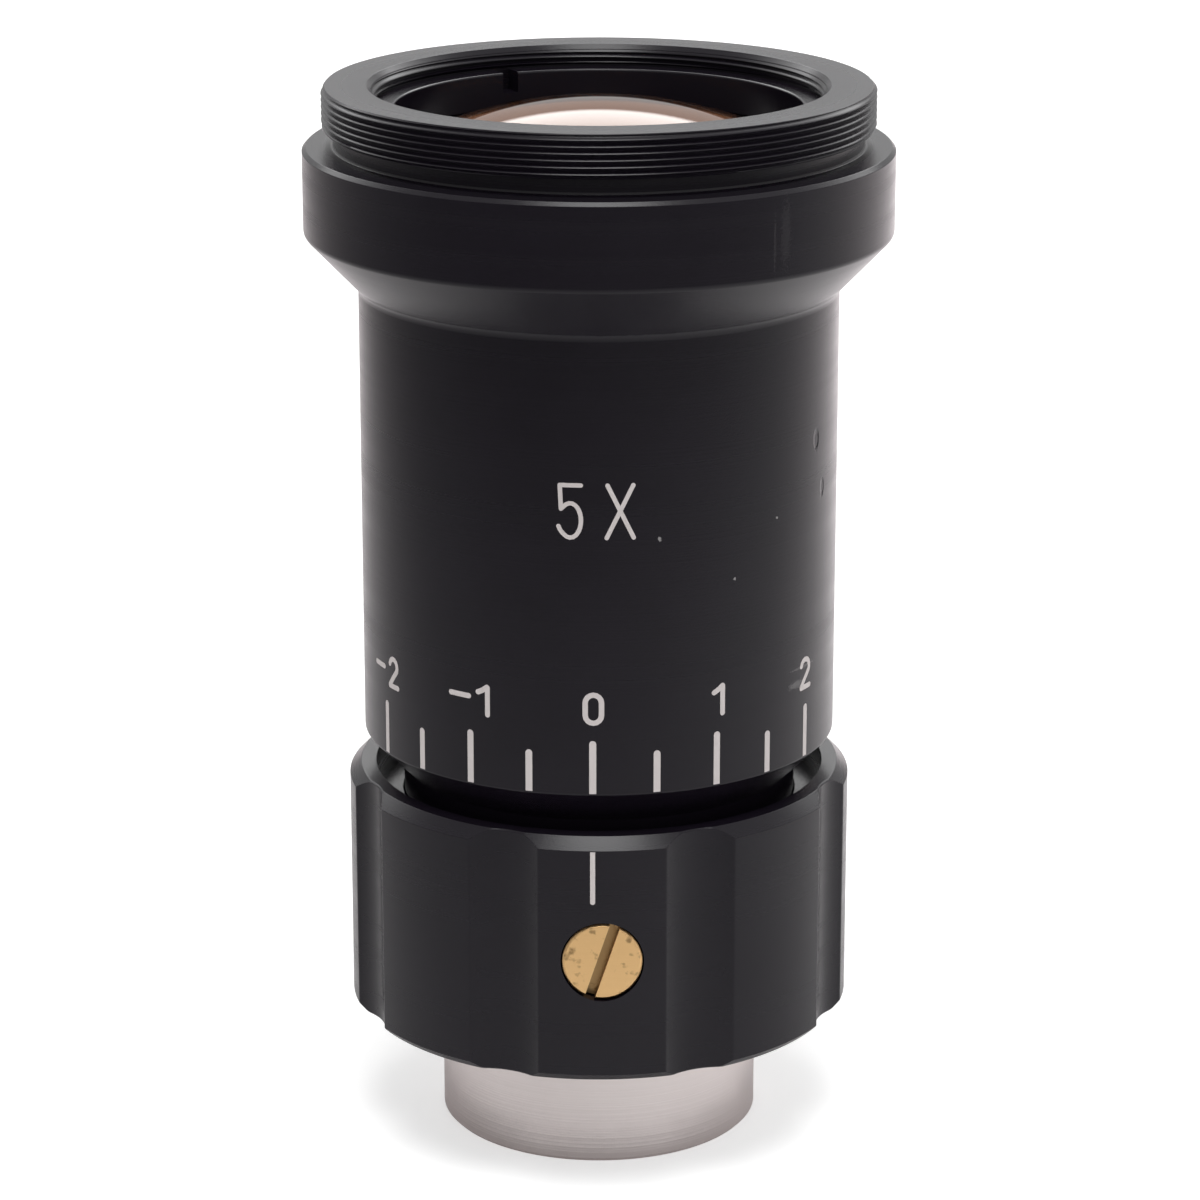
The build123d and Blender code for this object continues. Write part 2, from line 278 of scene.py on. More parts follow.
def makeFineGrain():
    # The matt bloom of a blasted or anodised face: fine noise on top of a coarser one.
    group, given, result = newGroup(
        "fineGrain", [("Scale", "Float", 5000.0)], [("Height", "Float"), ("Patches", "Float")])
    where = addNode(group, "TexCoord").outputs["Object"]
    fine = addNode(group, "TexNoise", {"Vector": where, "Scale": given.outputs["Scale"], "Detail": 3.0})
    coarse = maths(group, "MULTIPLY", given.outputs["Scale"], 0.03)
    patches = addNode(group, "TexNoise", {"Vector": where, "Scale": coarse, "Detail": 4.0})
    group.links.new(fine.outputs["Fac"], result.inputs["Height"])
    group.links.new(patches.outputs["Fac"], result.inputs["Patches"])
    return group


def makeSpot():
    # 1 at a point and 0 past its reach, stretched by the three sizes given in metres.
    group, given, result = newGroup(
        "spot",
        [("Centre", "Vector", (0, 0, 0)), ("Reach", "Vector", (0.001, 0.001, 0.001)),
         ("Ragged", "Float", 0.2)],
        [("Mask", "Float")],
    )
    where = addNode(group, "TexCoord").outputs["Object"]
    offset = addNode(group, "VectorMath", {0: where, 1: given.outputs["Centre"]}, operation="SUBTRACT")
    scaled = addNode(group, "VectorMath", {0: offset.outputs[0], 1: given.outputs["Reach"]},
                     operation="DIVIDE")
    distance = addNode(group, "VectorMath", {0: scaled.outputs[0]}, operation="LENGTH").outputs["Value"]
    rough = addNode(group, "TexNoise", {"Vector": where, "Scale": 6000.0, "Detail": 2.0}).outputs["Fac"]
    edge = maths(group, "MULTIPLY", maths(group, "SUBTRACT", rough, 0.5), given.outputs["Ragged"])
    total = maths(group, "ADD", distance, maths(group, "MULTIPLY", edge, 4.0))
    mask = addNode(group, "MapRange", {"Value": total, 1: 0.55, 2: 1.0, 3: 1.0, 4: 0.0})
    group.links.new(mask.outputs[0], result.inputs["Mask"])
    return group


turningMarks = makeTurningMarks()
fineGrain = makeFineGrain()
spot = makeSpot()


def useGroup(tree, group, **values):
    node = tree.nodes.new("ShaderNodeGroup")
    node.node_tree = group
    for key, value in values.items():
        node.inputs[key].default_value = value
    return node


def mixColour(tree, factor, first, second):
    node = addNode(tree, "Mix", {"Factor": factor}, data_type="RGBA")
    for key, value in (("A", first), ("B", second)):
        socket = [s for s in node.inputs if s.name == key and s.type == "RGBA"][0]
        if isinstance(value, bpy.types.NodeSocket):
            tree.links.new(value, socket)
        else:
            socket.default_value = (*value, 1)
    return [s for s in node.outputs if s.type == "RGBA"][0]


def mapRange(tree, value, low, high, toLow, toHigh):
    return addNode(tree, "MapRange", {"Value": value, 1: low, 2: high, 3: toLow, 4: toHigh}).outputs[0]


def newMaterial(name, **fixed):
    material = bpy.data.materials.new(name)
    material.use_nodes = True
    tree = material.node_tree
    shader = tree.nodes["Principled BSDF"]
    for key, value in fixed.items():
        shader.inputs[key.replace("_", " ")].default_value = value
    return material, tree, shader


def bump(tree, shader, height, distance, strength=1.0, before=None):
    values = {"Height": height, "Distance": distance, "Strength": strength}
    if before is not None:
        values["Normal"] = before
    return addNode(tree, "Bump", values).outputs["Normal"]


# Wear, as (angle from the front, radius, height, half width, half height, strength) of each spot
wearValues = {
    "dents": [(62.0, 18.4, 57.4, 0.5, 0.9, 1.0), (66.0, 18.4, 53.4, 0.4, 0.8, 1.0)],
    "marks": [
        (13.4, 18.4, 52.3, 0.16, 0.2, 1.0), (45.5, 18.4, 52.5, 0.14, 0.14, 1.0),
        (32.5, 18.4, 48.5, 0.14, 0.14, 1.0),
        (54.5, 18.4, 38.7, 1.3, 0.35, 0.35), (57.0, 18.4, 39.9, 1.7, 0.12, 0.35),
        (36.0, 22.5, 75.2, 0.5, 2.8, 0.04), (33.5, 22.5, 74.6, 0.12, 2.4, 0.06),
        (61.4, 19.3, 29.0, 0.22, 0.16, 0.9), (64.5, 19.3, 29.05, 0.14, 0.12, 0.8),
    ],
}


def aroundPlace(angle, radius, height):
    # A point of a cylinder, its angle counted from the front, positive to the right.
    turn = math.radians(angle - 90)
    return (radius * math.cos(turn) * mm, radius * math.sin(turn) * mm, height * mm)


def blackAnodised(name, marks=0.35, wear=True):
    material, tree, shader = newMaterial(name, Specular_IOR_Level=0.3, Roughness=0.3)
    turning = useGroup(tree, turningMarks, Fineness=7000.0)
    grain = useGroup(tree, fineGrain, Scale=6500.0)
    colour = mixColour(tree, grain.outputs["Patches"], (0.0056, 0.0040, 0.0072), (0.0090, 0.0068, 0.0114))
    roughness = mapRange(tree, turning.outputs["Mask"], 0.3, 0.7, 0.22, 0.29)
    normal = bump(tree, shader, turning.outputs["Height"], 0.000012 * marks)
    normal = bump(tree, shader, grain.outputs["Height"], 0.000006, before=normal)
    if wear:
        for angle, radius, height, wide, tall, strength in wearValues["marks"]:
            mask = useGroup(tree, spot, Centre=aroundPlace(angle, radius, height),
                            Reach=(wide * mm, wide * mm, tall * mm), Ragged=0.5)
            faint = maths(tree, "MULTIPLY", mask.outputs[0], strength)
            colour = mixColour(tree, faint, colour, (0.25, 0.24, 0.24))
        for angle, radius, height, wide, tall, strength in wearValues["dents"]:
            mask = useGroup(tree, spot, Centre=aroundPlace(angle, radius, height),
                            Reach=(wide * mm, wide * mm, tall * mm), Ragged=0.1)
            normal = bump(tree, shader, mask.outputs[0], -0.00012 * strength, before=normal)
    tree.links.new(colour, shader.inputs["Base Color"])
    tree.links.new(roughness, shader.inputs["Roughness"])
    tree.links.new(normal, shader.inputs["Normal"])
    return material


def turnedMetal(name, dark, light, roughness, marks, fineness=6000.0):
    # Bare turned metal: rings in the roughness and the bump, and a slight drift of colour.
    material, tree, shader = newMaterial(name, Metallic=1.0)
    turning = useGroup(tree, turningMarks, Fineness=fineness)
    grain = useGroup(tree, fineGrain, Scale=3000.0)
    factor = maths(tree, "ADD", maths(tree, "MULTIPLY", grain.outputs["Patches"], 0.6),
                   maths(tree, "MULTIPLY", turning.outputs["Mask"], 0.4))
    tree.links.new(mixColour(tree, factor, dark, light), shader.inputs["Base Color"])
    rough = mapRange(tree, turning.outputs["Mask"], 0.3, 0.7, roughness * 0.8, roughness * 1.2)
    tree.links.new(rough, shader.inputs["Roughness"])
    tree.links.new(bump(tree, shader, turning.outputs["Height"], marks), shader.inputs["Normal"])
    return material


brassValues = {
    "face": -19.53, "deep": -18.9, "grimeAndShade": (0.06, 0.033, 0.012), "slotShade": 0.62,
    "pitScale": 1300.0, "pitLow": 0.6, "pitHigh": 0.76, "pitGrime": 0.6, "pitDepth": 0.00003,
}


def wornBrass(name, v):
    # Turned brass with painted shade in the slot and round the rim, behind the face, and a few dark pits with
    # grime.
    material = turnedMetal(name, (0.76, 0.48, 0.22), (0.91, 0.59, 0.28), 0.34, 0.000012, 3000.0)
    tree = material.node_tree
    shader = tree.nodes["Principled BSDF"]
    clean = shader.inputs["Base Color"].links[0].from_socket
    turned = shader.inputs["Normal"].links[0].from_socket
    where = addNode(tree, "TexCoord").outputs["Object"]
    depth = addNode(tree, "SeparateXYZ", {0: where}).outputs["Y"]
    # Painted shade: from the face inwards the colour darkens, most in the slot and round the rim in its hole.
    low = mapRange(tree, depth, v["face"] * mm, v["deep"] * mm, 0, v["slotShade"])
    noise = addNode(tree, "TexNoise", {"Vector": where, "Scale": v["pitScale"], "Detail": 3.0})
    pits = mapRange(tree, noise.outputs["Fac"], v["pitLow"], v["pitHigh"], 0, 1)
    # The darker colour serves both the painted shade and the grime in the pits.
    pitGrimeAndRecessShade = maths(tree, "MAXIMUM", low, maths(tree, "MULTIPLY", pits, v["pitGrime"]))
    tree.links.new(mixColour(tree, pitGrimeAndRecessShade, clean, v["grimeAndShade"]), shader.inputs["Base Color"])
    tree.links.new(bump(tree, shader, pits, -v["pitDepth"], before=turned), shader.inputs["Normal"])
    return material


def plainFinish(name, dark, light, roughness, grainScale, depth, **fixed):
    # Rubber, nylon and paint: two close colours in patches, and a fine bump.
    material, tree, shader = newMaterial(name, **fixed)
    grain = useGroup(tree, fineGrain, Scale=grainScale)
    tree.links.new(mixColour(tree, grain.outputs["Patches"], dark, light), shader.inputs["Base Color"])
    rough = mapRange(tree, grain.outputs["Patches"], 0.3, 0.7, roughness * 0.85, roughness * 1.15)
    tree.links.new(rough, shader.inputs["Roughness"])
    tree.links.new(bump(tree, shader, grain.outputs["Height"], depth), shader.inputs["Normal"])
    return material


def coatedGlass(name):
    material, tree, shader = newMaterial(
        name, Roughness=0.02, IOR=1.52, Transmission_Weight=1.0, Specular_Tint=(1.0, 0.86, 0.8, 1))
    grain = useGroup(tree, fineGrain, Scale=2500.0)
    tree.links.new(mixColour(tree, grain.outputs["Patches"], (0.36, 0.14, 0.06), (0.4, 0.17, 0.08)),
                   shader.inputs["Base Color"])
    return material


anodised = blackAnodised("anodised_black")
anodisedInside = blackAnodised("anodised_black_inside", wear=False)
bareTube = turnedMetal("turned_aluminium", (0.70, 0.63, 0.615), (0.85, 0.78, 0.765), 0.32, 0.00002)
brass = wornBrass("turned_brass", brassValues)
groundSteel = turnedMetal("ground_steel", (0.5, 0.5, 0.51), (0.6, 0.6, 0.61), 0.25, 0.000004)
rolledBronze = turnedMetal("rolled_bronze", (0.48, 0.33, 0.2), (0.6, 0.43, 0.27), 0.35, 0.000004)
lensGlass = coatedGlass("coated_glass")
rubber = plainFinish("black_rubber", (0.012, 0.012, 0.012), (0.025, 0.025, 0.024), 0.6, 4000.0, 0.000008)
nylon = plainFinish("white_nylon", (0.7, 0.69, 0.64), (0.78, 0.77, 0.73), 0.45, 3000.0, 0.000006)
markPaint = plainFinish("mark_paint", (0.56, 0.51, 0.50), (0.68, 0.63, 0.62), 0.55, 4000.0, 0.000012)
print("materials ready")


# Barrel

barrelValues = {
    "columns": 320,
    "neckBore": 13.48, "neck": 15.38, "neckEdge": 0.3, "neckBottom": 15.3,
    "body": 18.4, "bodyBottom": 32.5, "bodyEdge": 0.25,
    "coneBottom": 67.6, "coneRound": 0.8,
    "flange": 22.5, "flangeBottom": 71.9, "flangeRound": 0.5, "flangeTop": 78.4, "flangeEdge": 0.3,
    "relief": 20.1, "reliefTop": 79.7, "reliefRound": 0.25,
    "crest": 21.0, "threadDepth": 0.31, "threadPitch": 0.5, "rowsPerPitch": 8,
    "top": 83.0, "lipBore": 17.2, "lipInnerEdge": 0.35,
    "innerThreadLow": 81.45, "innerThreadHigh": 82.6,
    "lensBore": 17.02, "lensRim": 77.145, "lensSeat": 74.7,
    "bore": 15.9, "boreStep": 34.5,
    "grooves": 7, "grooveStart": 41.5, "groovePitch": 4.0, "grooveDepth": 0.6,
    "dowelHole": 2.02, "dowelHeight": 20.14,
    "edge": 0.06,
}


def threadRows(values, angles, low, high, inner, outer, crestOutside):
    # A row follows the helix: height = low + pitch (phase + angle / full turn), cut off at both ends.
    # Its radius goes from root to crest with the phase, between two flats of an eighth of a pitch,
    # and a 45 degree chamfer at each end of the thread cuts the crests down to the root.
    pitch, depth = values["threadPitch"], abs(outer - inner)
    steps = values["rowsPerPitch"]
    phase = np.arange(math.ceil(((high - low) / pitch + 1) * steps) + 1) / steps - 1
    height = low + pitch * (phase[:, None] + angles / fullTurn)
    wave = np.abs(2 * (phase % 1) - 1)[:, None] + 0 * angles
    rise = depth * np.clip((wave - 1 / 8) / (3 / 4), 0, 1)
    rise = np.where((height <= low) | (height >= high), 0, rise)
    height = np.clip(height, low, high)
    rise = np.minimum(rise, np.minimum(height - low, high - height))
    radius = inner + rise if crestOutside else outer - rise
    return np.stack([radius, height], -1)


def makeBarrel(v):
    # One column for each angle, both ends of the turn included, because a thread's rows climb by one
    # pitch in a turn and only meet the next ones there.
    angles = np.linspace(0, fullTurn, v["columns"] + 1)
    count = len(angles)
    edge = v["edge"]
    root = v["crest"] - v["threadDepth"]
    outside = filletRows([
        (v["neckBore"], v["neckBottom"] + 1),
        (v["neckBore"], v["neckBottom"], edge),
        (v["neck"] - v["neckEdge"], v["neckBottom"], edge),
        (v["neck"], v["neckBottom"] + v["neckEdge"], edge),
        (v["neck"], v["bodyBottom"] - (v["body"] - v["neck"]), edge),
        (v["body"], v["bodyBottom"], v["bodyEdge"]),
        (v["body"], v["coneBottom"], v["coneRound"]),
        (v["flange"], v["flangeBottom"], v["flangeRound"]),
        (v["flange"], v["flangeTop"] - v["flangeEdge"], edge),
        (v["flange"] - v["flangeEdge"], v["flangeTop"], edge),
        (v["relief"], v["flangeTop"], v["reliefRound"]),
        (v["relief"], v["reliefTop"]),
        (root, v["reliefTop"]),
    ], count, closed=False)
    outerThread = threadRows(v, angles, v["reliefTop"], v["top"], root, v["crest"], True)
    rim = filletRows([
        (root, v["top"]),
        (v["lipBore"] + v["lipInnerEdge"], v["top"], edge),
        (v["lipBore"], v["top"] - v["lipInnerEdge"], edge),
        (v["lipBore"], v["innerThreadHigh"]),
    ], count, closed=False)
    crest = v["lipBore"] - v["threadDepth"] * 0.9
    innerThread = threadRows(v, angles, v["innerThreadLow"], v["innerThreadHigh"], crest, v["lipBore"], False)
    grooveTops = v["grooveStart"] + v["groovePitch"] * np.arange(v["grooves"])[::-1] + v["grooveDepth"]
    grooveCorners = []
    for height in grooveTops:
        bottom = height - v["grooveDepth"]
        grooveCorners += [(v["bore"], height), (v["bore"] + v["grooveDepth"], bottom), (v["bore"], bottom)]
    inside = filletRows([
        (v["lipBore"], v["innerThreadLow"]),
        (v["lipBore"], v["lensRim"]),
        (v["lensBore"], v["lensRim"]),
        (v["lensBore"], v["lensSeat"]),
        (v["bore"], v["lensSeat"], edge),
        *grooveCorners,
        (v["bore"], v["boreStep"] + v["bore"] - v["neckBore"]),
        (v["neckBore"], v["boreStep"]),
        (v["neckBore"], v["neckBottom"] + 1),
    ], count, closed=False)
    rows = np.concatenate([outside, outerThread, rim, innerThread[::-1], inside])
    barrel = makePiece("barrel_body", aroundAxis(rows, angles),
                       gridFaces(len(rows), count, wrapColumns=False))
    hole = barCutter(v["dowelHole"], (0, v["neckBore"] - 1, v["dowelHeight"]),
                     (0, v["neck"] + 1, v["dowelHeight"]))
    return cutAway(barrel, hole)


barrel = place(makeBarrel(barrelValues), "barrel_group", "barrel", "black_anodised", anodised)
print("barrel", len(barrel.data.polygons))


# Focus ring

ringValues = {
    "radius": 19.65, "bottom": 9.8, "top": 29.4,
    "topChamfer": 0.9, "bottomChamfer": 0.6, "leastChamfer": 0.12, "edge": 0.05,
    "bore": 15.46, "boreBottom": 13.2, "boreTop": 27.08,
    "recess": 17.55, "skirt": 17.06,
    "flutes": 8, "fluteDepth": 0.98, "fluteCutter": 5.5, "fluteEdge": 0.07,
    "landColumns": 20, "edgeColumns": 9, "fluteColumns": 20,
    "grooveHalfWidth": 2.05, "grooveFloor": 17.36, "grooveHeight": 20.14, "grooveTravel": 2.0,
    "grooveTurn": 60.0,
    "holeRadius": 3.15, "holeHeight": 19.6,
}


def ringColumns(v):
    # The flute is part of a circle whose centre lies outside the ring: along a ray at an angle to the
    # flute's middle, its wall is at d cos(angle) - sqrt(c^2 - d^2 sin(angle)^2). The smaller of that
    # and the ring's radius is the outline, blended over a short width to round the edge.
    distance = v["radius"] - v["fluteDepth"] + v["fluteCutter"]
    half = math.acos((distance**2 + v["radius"]**2 - v["fluteCutter"]**2) / (2 * distance * v["radius"]))
    period = fullTurn / v["flutes"]
    spread = 2.5 * v["fluteEdge"] / v["radius"]
    inFlute = np.linspace(-half + 2 * spread, half - 2 * spread, v["fluteColumns"])
    nearEdge = np.linspace(-1.5 * spread, 1.5 * spread, v["edgeColumns"])
    onLand = np.linspace(half + 2 * spread, period - half - 2 * spread, v["landColumns"])
    once = np.concatenate([inFlute, half + nearEdge, onLand, period - half + nearEdge])
    middle = -math.pi / 2 + period / 2
    angles = (middle + period * np.arange(v["flutes"])[:, None] + once).ravel()
    swing = np.tile((once + period / 2) % period - period / 2, v["flutes"])
    inside = np.maximum(v["fluteCutter"]**2 - (distance * np.sin(swing))**2, 0)
    wall = np.where(inside > 0, distance * np.cos(swing) - np.sqrt(inside), 2 * v["radius"])
    blend = np.clip(0.5 + 0.5 * (wall - v["radius"]) / v["fluteEdge"], 0, 1)
    soft = blend * (1 - blend) * v["fluteEdge"]
    return angles, wall + (v["radius"] - wall) * blend - soft


def helixCutter(v, columns=90):
    # The dowel's path in the ring's bore: a box section that climbs as the angle falls, from its low
    # end to its high end. Two bars at its ends make them round.
    turn = math.radians(v["grooveTurn"])
    swing = np.linspace(-turn, turn, columns)
    angle = math.pi / 2 - swing
    middle = v["grooveHeight"] + v["grooveTravel"] * swing / turn
    inner, outer, half = v["bore"] - 1, v["grooveFloor"], v["grooveHalfWidth"]
    lift = half * math.hypot(1, v["grooveTravel"] / (turn * v["bore"]))
    corners = [(inner, -lift), (outer, -lift), (outer, lift), (inner, lift)]
    rows = np.stack([np.stack([0 * middle + r, middle + z], -1) for r, z in corners])
    points = aroundAxis(rows, angle)
    faces = gridFaces(4, columns, wrapColumns=False)
    ends = np.array([[0, columns, 2 * columns, 3 * columns],
                     [columns - 1, 2 * columns - 1, 3 * columns - 1, 4 * columns - 1]])
    tools = [cutter(points, np.concatenate([faces, ends]))]
    for side in (-1, 1):
        end = math.pi / 2 - side * turn
        height = v["grooveHeight"] + side * v["grooveTravel"]
        near = (inner * math.cos(end), inner * math.sin(end), height)
        far = (outer * math.cos(end), outer * math.sin(end), height)
        tools.append(barCutter(half, near, far))
    return tools


def makeFocusRing(v):
    angles, outline = ringColumns(v)
    edge = v["edge"]
    topCut = np.maximum(outline - (v["radius"] - v["topChamfer"]), v["leastChamfer"])
    bottomCut = np.maximum(outline - (v["radius"] - v["bottomChamfer"]), v["leastChamfer"])
    rows = filletRows([
        (v["skirt"], v["bottom"], edge),
        (outline - bottomCut, v["bottom"], edge),
        (outline, v["bottom"] + bottomCut, edge),
        (outline, v["top"] - topCut, edge),
        (outline - topCut, v["top"], edge),
        (v["recess"], v["top"], edge),
        (v["recess"], v["boreTop"]),
        (v["bore"], v["boreTop"], edge),
        (v["bore"], v["boreBottom"]),
        (v["skirt"], v["boreBottom"]),
    ], len(angles))
    ring = makePiece("focus_ring_body", aroundAxis(rows, angles), gridFaces(len(rows), len(angles)))
    hole = barCutter(v["holeRadius"], (0, -v["bore"] + 1, v["holeHeight"]),
                     (0, -v["radius"] - 1, v["holeHeight"]), 96)
    return cutAway(ring, *helixCutter(v), hole)


focusRing = place(makeFocusRing(ringValues), "focus_ring_group", "focus_ring", "black_anodised", anodised)
print("focus ring", len(focusRing.data.polygons))


# Input tube

tubeValues = {
    "spigot": 12.5, "spigotEdge": 0.3, "spigotTop": 9.4, "journal": 12.1,
    "entry": 10.0, "entryTop": 12.4, "thread": 8.03, "threadTop": 24.6,
    "flange": 16.76, "flangeBottom": 11.35, "flangeTop": 12.85,
    "guide": 13.4, "guideTop": 33.05, "guideEdge": 0.3,
    "mouth": 10.0, "mouthDepth": 5.0, "bore": 7.0,
    "grooveHalfWidth": 2.05, "grooveFloor": 11.79, "grooveBottom": 18.14,
    "edge": 0.05,
}


def makeInputTube(v):
    edge = v["edge"]
    tube = turnedPiece("input_tube_body", [
        (v["entry"], v["spigotEdge"], edge),
        (v["entry"] + v["spigotEdge"], 0, edge),
        (v["spigot"] - v["spigotEdge"], 0, edge),
        (v["spigot"], v["spigotEdge"], edge),
        (v["spigot"], v["spigotTop"], edge),
        (v["journal"], v["spigotTop"]),
        (v["journal"], v["flangeBottom"]),
        (v["flange"], v["flangeBottom"], edge),
        (v["flange"], v["flangeTop"], edge),
        (v["guide"], v["flangeTop"]),
        (v["guide"], v["guideTop"] - v["guideEdge"], edge),
        (v["guide"] - v["guideEdge"], v["guideTop"], edge),
        (v["mouth"], v["guideTop"], edge),
        (v["bore"], v["guideTop"] - v["mouthDepth"], edge),
        (v["bore"], v["threadTop"], edge),
        (v["thread"], v["threadTop"]),
        (v["thread"], v["entryTop"], edge),
        (v["entry"], v["entryTop"]),
    ], 256)
    deep = v["guide"] + 1 - v["grooveFloor"]
    tall = v["guideTop"] + 1 - v["grooveBottom"]
    slot = boxCutter((2 * v["grooveHalfWidth"], deep, tall),
                     centre=(0, v["grooveFloor"] + deep / 2, v["grooveBottom"] + tall / 2))
    end = barCutter(v["grooveHalfWidth"], (0, v["grooveFloor"], v["grooveBottom"]),
                    (0, v["guide"] + 1, v["grooveBottom"]))
    return cutAway(tube, slot, end)


inputTube = place(makeInputTube(tubeValues), "input_group", "input_tube", "bare_aluminium", bareTube)
print("input tube", len(inputTube.data.polygons))


# Output lens and the ring that holds it

lensValues = {"radius": 17.0, "curve": 34.0, "crown": 81.7, "back": 74.7, "edge": 0.12, "rows": 80}


def makeDome(name, v, columns=360):
    # The convex face is a sphere: height = crown - curve + sqrt(curve^2 - radius^2).
    rim = v["crown"] - v["curve"] + math.sqrt(v["curve"]**2 - v["radius"]**2)
    tilt = math.asin((v["radius"] - v["edge"]) / v["curve"])
    swing = np.linspace(tilt, 0, v["rows"])
    dome = np.stack([v["curve"] * np.sin(swing), v["crown"] - v["curve"] + v["curve"] * np.cos(swing)], -1)
    side = filletRows([
        (0, v["back"]),
        (v["radius"], v["back"], v["edge"]),
        (v["radius"], rim - 0.1),
        tuple(dome[0]),
    ], 1, closed=False)
    rows = np.concatenate([side, dome[1:, None]])
    angles = np.arange(columns) / columns * fullTurn
    points = aroundAxis(np.repeat(rows, columns, 1), angles)
    return makePiece(name, points, gridFaces(len(rows), columns, wrapRows=False))


retainerValues = {
    "inner": 15.45, "outer": 17.17, "bottom": 78.54, "top": 81.35, "edge": 0.08,
    "notchWidth": 1.3, "notchDepth": 1.6, "notchTurn": -154.0,
}


def makeRetainer(v):
    ring = turnedPiece("output_retaining_ring_body", [
        (v["inner"], v["bottom"], v["edge"]),
        (v["outer"], v["bottom"], v["edge"]),
        (v["outer"], v["top"], v["edge"]),
        (v["inner"], v["top"], 2 * v["edge"]),
    ], 240)
    size = (2 * v["outer"] + 4, v["notchWidth"], v["notchDepth"] + 1)
    notch = boxCutter(size, v["notchTurn"] - 90, (0, 0, v["top"] + 1 - size[2] / 2))
    return cutAway(ring, notch)


outputLens = place(makeDome("output_lens_body", lensValues), "barrel_group", "output_lens",
                   "coated_glass", lensGlass)
retainer = place(makeRetainer(retainerValues), "barrel_group", "output_retaining_ring",
                 "black_anodised", anodisedInside)
print("output lens and retaining ring")


# Lock screw and ring nut

screwValues = {
    "radius": 3.05, "face": 19.55, "tip": 16.50, "height": 19.6, "edge": 0.2, "edgeRound": 0.08,
    "slotWidth": 0.8, "slotDepth": 1.0, "slotTurn": 18.5,
}


def makeLockScrew(v):
    # It is turned about Z with its face up, slotted, and then laid down to face the front.
    long = v["face"] - v["tip"]
    screw = turnedPiece("lock_screw_body", [
        (0, 0),
        (v["radius"] - v["edge"], 0, v["edgeRound"]),
        (v["radius"], v["edge"], v["edgeRound"]),
        (v["radius"], long - v["edge"], v["edgeRound"]),
        (v["radius"] - v["edge"], long, v["edgeRound"]),
        (0, long),
    ], 128, closed=False)
    slot = boxCutter((v["slotWidth"], 2 * v["radius"] + 2, v["slotDepth"] + 1), -v["slotTurn"],
                     (0, 0, long - v["slotDepth"] + (v["slotDepth"] + 1) / 2))
    cutAway(screw, slot)
    lay = Matrix.Translation((0, -v["tip"] * mm, v["height"] * mm)) @ Matrix.Rotation(math.pi / 2, 4, "X")
    screw.data.transform(lay)
    screw.data.update()
    return screw


nutValues = {
    "inner": 12.8, "outer": 17.03, "bottom": 9.8, "top": 11.0, "edge": 0.1,
    "hole": 0.8, "holeDepth": 0.8, "holeDistance": 14.93,
}


def makeRingNut(v):
    nut = turnedPiece("ring_nut_body", [
        (v["inner"], v["bottom"], v["edge"]),
        (v["outer"], v["bottom"], v["edge"]),
        (v["outer"], v["top"], v["edge"]),
        (v["inner"], v["top"], v["edge"]),
    ], 200)
    holes = [barCutter(v["hole"], (side * v["holeDistance"], 0, v["bottom"] - 1),
                       (side * v["holeDistance"], 0, v["bottom"] + v["holeDepth"])) for side in (-1, 1)]
    return cutAway(nut, *holes)


lockScrew = place(makeLockScrew(screwValues), "lock_screw_body", "lock_screw", "brass", brass)
ringNut = place(makeRingNut(nutValues), "focus_ring_group", "ring_nut", "black_anodised", anodisedInside)
print("lock screw and ring nut")


# Input cell, its lens and its two rings, seen from below

cellValues = {
    "cell": 8.0, "bottom": 18.0, "top": 24.6, "retainerBore": 5.5, "rim": 20.387,
    "lens": 5.0, "seat": 23.2, "window": 4.2, "cone": 6.0, "gap": 0.02,
    "curve": 6.75, "hollowTop": 21.7, "aperture": 4.0,
    "retainerTop": 20.367, "retainerThickness": 1.4, "retainer": 5.47,
    "lockBore": 5.8, "lockBottom": 16.4, "lockTop": 17.98,
    "slotWidth": 1.2, "slotDepth": 0.7, "edge": 0.06,
}


def spannerSlot(v, face, turn):
    size = (2 * v["cell"] + 2, v["slotWidth"], v["slotDepth"] + 1)
    return boxCutter(size, turn, (0, 0, face + v["slotDepth"] - size[2] / 2))


def makeCell(v):
    edge = v["edge"]
    cell = turnedPiece("input_cell_body", [
        (v["retainerBore"], v["bottom"], edge),
        (v["cell"], v["bottom"], edge),
        (v["cell"], v["top"], edge),
        (v["cone"], v["top"], edge),
        (v["window"], v["seat"], edge),
        (v["lens"] + v["gap"], v["seat"]),
        (v["lens"] + v["gap"], v["rim"]),
        (v["retainerBore"], v["rim"]),
    ], 128)
    return cutAway(cell, spannerSlot(v, v["bottom"], 0))


def makeInputLens(v):
    # The hollow is a sphere: height = top of the hollow - curve + sqrt(curve^2 - radius^2).
    tilt = math.asin(v["aperture"] / v["curve"])
    swing = np.linspace(0, tilt, 24)
    hollow = np.stack([v["curve"] * np.sin(swing),
                       v["hollowTop"] - v["curve"] + v["curve"] * np.cos(swing)], -1)
    side = filletRows([
        tuple(hollow[-1]),
        (v["lens"], v["rim"], v["edge"]),
        (v["lens"], v["seat"], v["edge"]),
        (0, v["seat"]),
    ], 1, closed=False)
    rows = np.concatenate([hollow[:-1, None], side])
    angles = np.arange(96) / 96 * fullTurn
    points = aroundAxis(np.repeat(rows, 96, 1), angles)
    return makePiece("input_lens_body", points, gridFaces(len(rows), 96, wrapRows=False))


def makeSmallRing(name, v, inner, outer, bottom, top, turn):
    corners = [(inner, bottom, v["edge"]), (outer, bottom, v["edge"]),
               (outer, top, v["edge"]), (inner, top, v["edge"])]
    return cutAway(turnedPiece(name, corners, 112), spannerSlot(v, bottom, turn))


